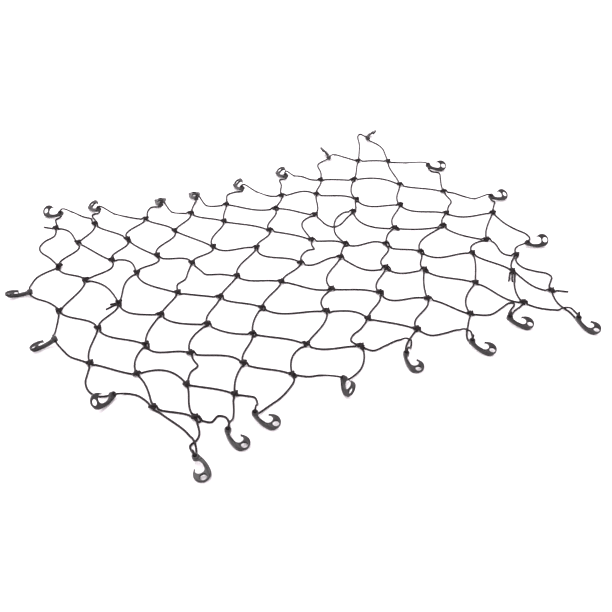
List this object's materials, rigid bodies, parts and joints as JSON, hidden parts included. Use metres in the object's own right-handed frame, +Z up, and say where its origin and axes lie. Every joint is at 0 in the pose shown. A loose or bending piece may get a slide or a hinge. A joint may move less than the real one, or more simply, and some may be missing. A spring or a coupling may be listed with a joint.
{
  "type": "elastic cargo net with hooks",
  "caption": "Stretch cargo net of knotted elastic cord in a diamond mesh, with plastic hooks threaded on its edge loops, lying loosely on a flat surface.",
  "frame": {"origin": "middle of the whole net with its hooks, in plan, on the surface that it lies on", "axes": "+X along the rows of knots, the net's longer way; +Y across the rows, towards the far edge; +Z up from the surface"},
  "size_m": [1.2144, 1.053, 0.0309],
  "materials": {
    "elastic_cord": "braided, matte",
    "hook_plastic": "moulded, semi-gloss"
  },
  "bodies": {
    "root": {"net": "elastic_cord", "hook_01": "hook_plastic", "hook_02": "hook_plastic", "hook_03": "hook_plastic", "hook_04": "hook_plastic", "hook_05": "hook_plastic", "hook_06": "hook_plastic", "hook_07": "hook_plastic", "hook_08": "hook_plastic", "hook_09": "hook_plastic", "hook_10": "hook_plastic", "hook_11": "hook_plastic", "hook_12": "hook_plastic", "hook_13": "hook_plastic", "hook_14": "hook_plastic", "hook_15": "hook_plastic", "hook_16": "hook_plastic", "hook_17": "hook_plastic", "hook_18": "hook_plastic", "hook_19": "hook_plastic", "hook_20": "hook_plastic", "hook_21": "hook_plastic", "hook_22": "hook_plastic"}
  },
  "joints": []
}
